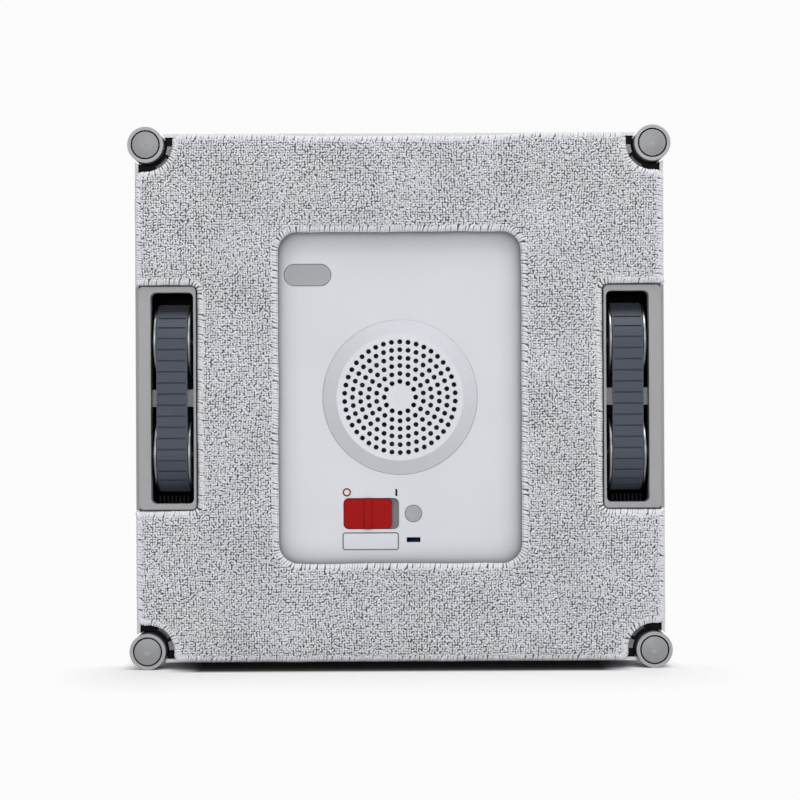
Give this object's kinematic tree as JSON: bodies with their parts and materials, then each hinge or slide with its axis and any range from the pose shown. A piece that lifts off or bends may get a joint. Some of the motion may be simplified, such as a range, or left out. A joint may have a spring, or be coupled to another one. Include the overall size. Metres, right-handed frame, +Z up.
{
  "type": "window cleaning robot",
  "caption": "Square window cleaning robot with a looped microfibre pad, ribbed tracks on both sides, a central suction fan grille, corner rollers and a rear grip.",
  "frame": {"origin": "centre of the cleaning side, in the plane of the glass", "axes": "+Z up the window, +X right seen from the cleaning side, -Y out of the cleaning side towards the glass"},
  "size_m": [0.251, 0.0879, 0.251],
  "materials": {
    "shell": "light grey-white moulded ABS, satin gloss",
    "cover": "white moulded ABS, glossy",
    "panel": "light grey moulded ABS, fine texture",
    "grille": "light grey moulded ABS with drilled holes",
    "bezel": "mid grey moulded plastic",
    "housing": "black moulded plastic",
    "belt": "blue-grey ribbed rubber tread",
    "wheel": "dark nylon wheel",
    "flange": "pressed steel disc, polished rim",
    "steel": "turned steel",
    "brass": "sintered bronze bush",
    "gear": "natural acetal",
    "motor": "drawn steel can",
    "roller": "grey moulded plastic ring",
    "tyre": "black rubber tyre",
    "cap": "grey domed cap, satin",
    "impeller": "black moulded nylon",
    "fan_shell": "white moulded plastic",
    "battery": "blue shrink wrap over steel cells",
    "board": "green glass-fibre board with parts",
    "slider": "red moulded plastic, satin gloss",
    "plug": "grey soft rubber",
    "button": "white push button",
    "light": "frosted translucent ring",
    "metal": "polished steel eye",
    "inlet": "black power socket",
    "pad": "looped grey microfibre, overlocked edges",
    "hook": "woven hook tape",
    "screw": "zinc plated screw"
  },
  "bodies": {
    "body": {"base_plate": "panel", "fan_grille": "grille", "side_casing": "shell", "top_cover": "cover", "handle_grip": "shell", "exhaust_grille": "housing", "idler_axles": "steel", "axle_bushes": "brass", "roller_pins": "cap", "roller_brackets": "housing", "fan_motor": "motor", "fan_housing": "fan_shell", "battery_pack": "battery", "main_board": "board", "switch_body": "panel", "light_ring": "light", "button_switch": "board", "power_inlet": "inlet", "tether_eye": "metal", "hook_strips": "hook", "base_screws": "screw", "track_bezel_left": "bezel", "track_housing_left": "housing", "track_frame_left": "bezel", "tread_belt_left": "belt", "drive_motor_left": "motor", "track_bezel_right": "bezel", "track_housing_right": "housing", "track_frame_right": "bezel", "tread_belt_right": "belt", "drive_motor_right": "motor"},
    "drive_wheel_left": {"drive_wheel_left": "wheel", "drive_flanges_left": "flange", "drive_axle_left": "steel", "drive_gear_left": "gear"},
    "idler_wheel_left": {"idler_wheel_left": "wheel", "idler_flanges_left": "flange"},
    "motor_pinion_left": {"motor_pinion_left": "steel"},
    "roller_top_left": {"roller_top_left": "roller", "tyre_top_left": "tyre"},
    "roller_bottom_left": {"roller_bottom_left": "roller", "tyre_bottom_left": "tyre"},
    "drive_wheel_right": {"drive_wheel_right": "wheel", "drive_flanges_right": "flange", "drive_axle_right": "steel", "drive_gear_right": "gear"},
    "idler_wheel_right": {"idler_wheel_right": "wheel", "idler_flanges_right": "flange"},
    "motor_pinion_right": {"motor_pinion_right": "steel"},
    "roller_top_right": {"roller_top_right": "roller", "tyre_top_right": "tyre"},
    "roller_bottom_right": {"roller_bottom_right": "roller", "tyre_bottom_right": "tyre"},
    "impeller": {"impeller": "impeller"},
    "power_slider": {"power_slider": "slider"},
    "start_button": {"start_button": "button"},
    "oval_plug": {"oval_plug": "plug"},
    "round_plug": {"round_plug": "plug"},
    "cleaning_pad": {"cleaning_pad": "pad"}
  },
  "joints": [
    {"name": "drive_wheel_left_spin", "type": "hinge", "parent": "body", "child": "drive_wheel_left", "pos_m": [-0.1053, 0.0175, -0.0263], "axis": [1, 0, 0], "continuous": true},
    {"name": "idler_wheel_left_spin", "type": "hinge", "parent": "body", "child": "idler_wheel_left", "pos_m": [-0.1053, 0.0175, 0.0263], "axis": [1, 0, 0], "continuous": true},
    {"name": "motor_pinion_left_spin", "type": "hinge", "parent": "body", "child": "motor_pinion_left", "pos_m": [-0.089, 0.0295, -0.0263], "axis": [1, 0, 0], "continuous": true},
    {"name": "roller_top_left_spin", "type": "hinge", "parent": "body", "child": "roller_top_left", "pos_m": [-0.1172, 0.008, 0.1172], "axis": [0, 1, 0], "continuous": true},
    {"name": "roller_bottom_left_spin", "type": "hinge", "parent": "body", "child": "roller_bottom_left", "pos_m": [-0.1172, 0.008, -0.1172], "axis": [0, 1, 0], "continuous": true},
    {"name": "drive_wheel_right_spin", "type": "hinge", "parent": "body", "child": "drive_wheel_right", "pos_m": [0.1053, 0.0175, -0.0263], "axis": [1, 0, 0], "continuous": true},
    {"name": "idler_wheel_right_spin", "type": "hinge", "parent": "body", "child": "idler_wheel_right", "pos_m": [0.1053, 0.0175, 0.0263], "axis": [1, 0, 0], "continuous": true},
    {"name": "motor_pinion_right_spin", "type": "hinge", "parent": "body", "child": "motor_pinion_right", "pos_m": [0.089, 0.0295, -0.0263], "axis": [1, 0, 0], "continuous": true},
    {"name": "roller_top_right_spin", "type": "hinge", "parent": "body", "child": "roller_top_right", "pos_m": [0.1172, 0.008, 0.1172], "axis": [0, 1, 0], "continuous": true},
    {"name": "roller_bottom_right_spin", "type": "hinge", "parent": "body", "child": "roller_bottom_right", "pos_m": [0.1172, 0.008, -0.1172], "axis": [0, 1, 0], "continuous": true},
    {"name": "impeller_spin", "type": "hinge", "parent": "body", "child": "impeller", "pos_m": [0, 0.018, 0], "axis": [0, 1, 0], "continuous": true},
    {"name": "power_slider_slide", "type": "slide", "parent": "body", "child": "power_slider", "axis": [1, 0, 0], "range_m": [0, 0.003]},
    {"name": "start_button_press", "type": "slide", "parent": "body", "child": "start_button", "axis": [0, -1, 0], "range_m": [0, 0.001], "stiffness_N_per_m": 400, "springref_m": -0.001},
    {"name": "oval_plug_pull", "type": "slide", "parent": "body", "child": "oval_plug", "axis": [0, -1, 0], "range_m": [0, 0.012]},
    {"name": "round_plug_pull", "type": "slide", "parent": "body", "child": "round_plug", "axis": [0, -1, 0], "range_m": [0, 0.012]},
    {"name": "cleaning_pad_pull", "type": "slide", "parent": "body", "child": "cleaning_pad", "axis": [0, -1, 0], "range_m": [0, 0.03]}
  ],
  "couplings": [
    {"joint": "idler_wheel_left_spin", "follows": "drive_wheel_left_spin", "ratio": 1},
    {"joint": "motor_pinion_left_spin", "follows": "drive_wheel_left_spin", "ratio": -1.5},
    {"joint": "idler_wheel_right_spin", "follows": "drive_wheel_right_spin", "ratio": 1},
    {"joint": "motor_pinion_right_spin", "follows": "drive_wheel_right_spin", "ratio": -1.5}
  ]
}
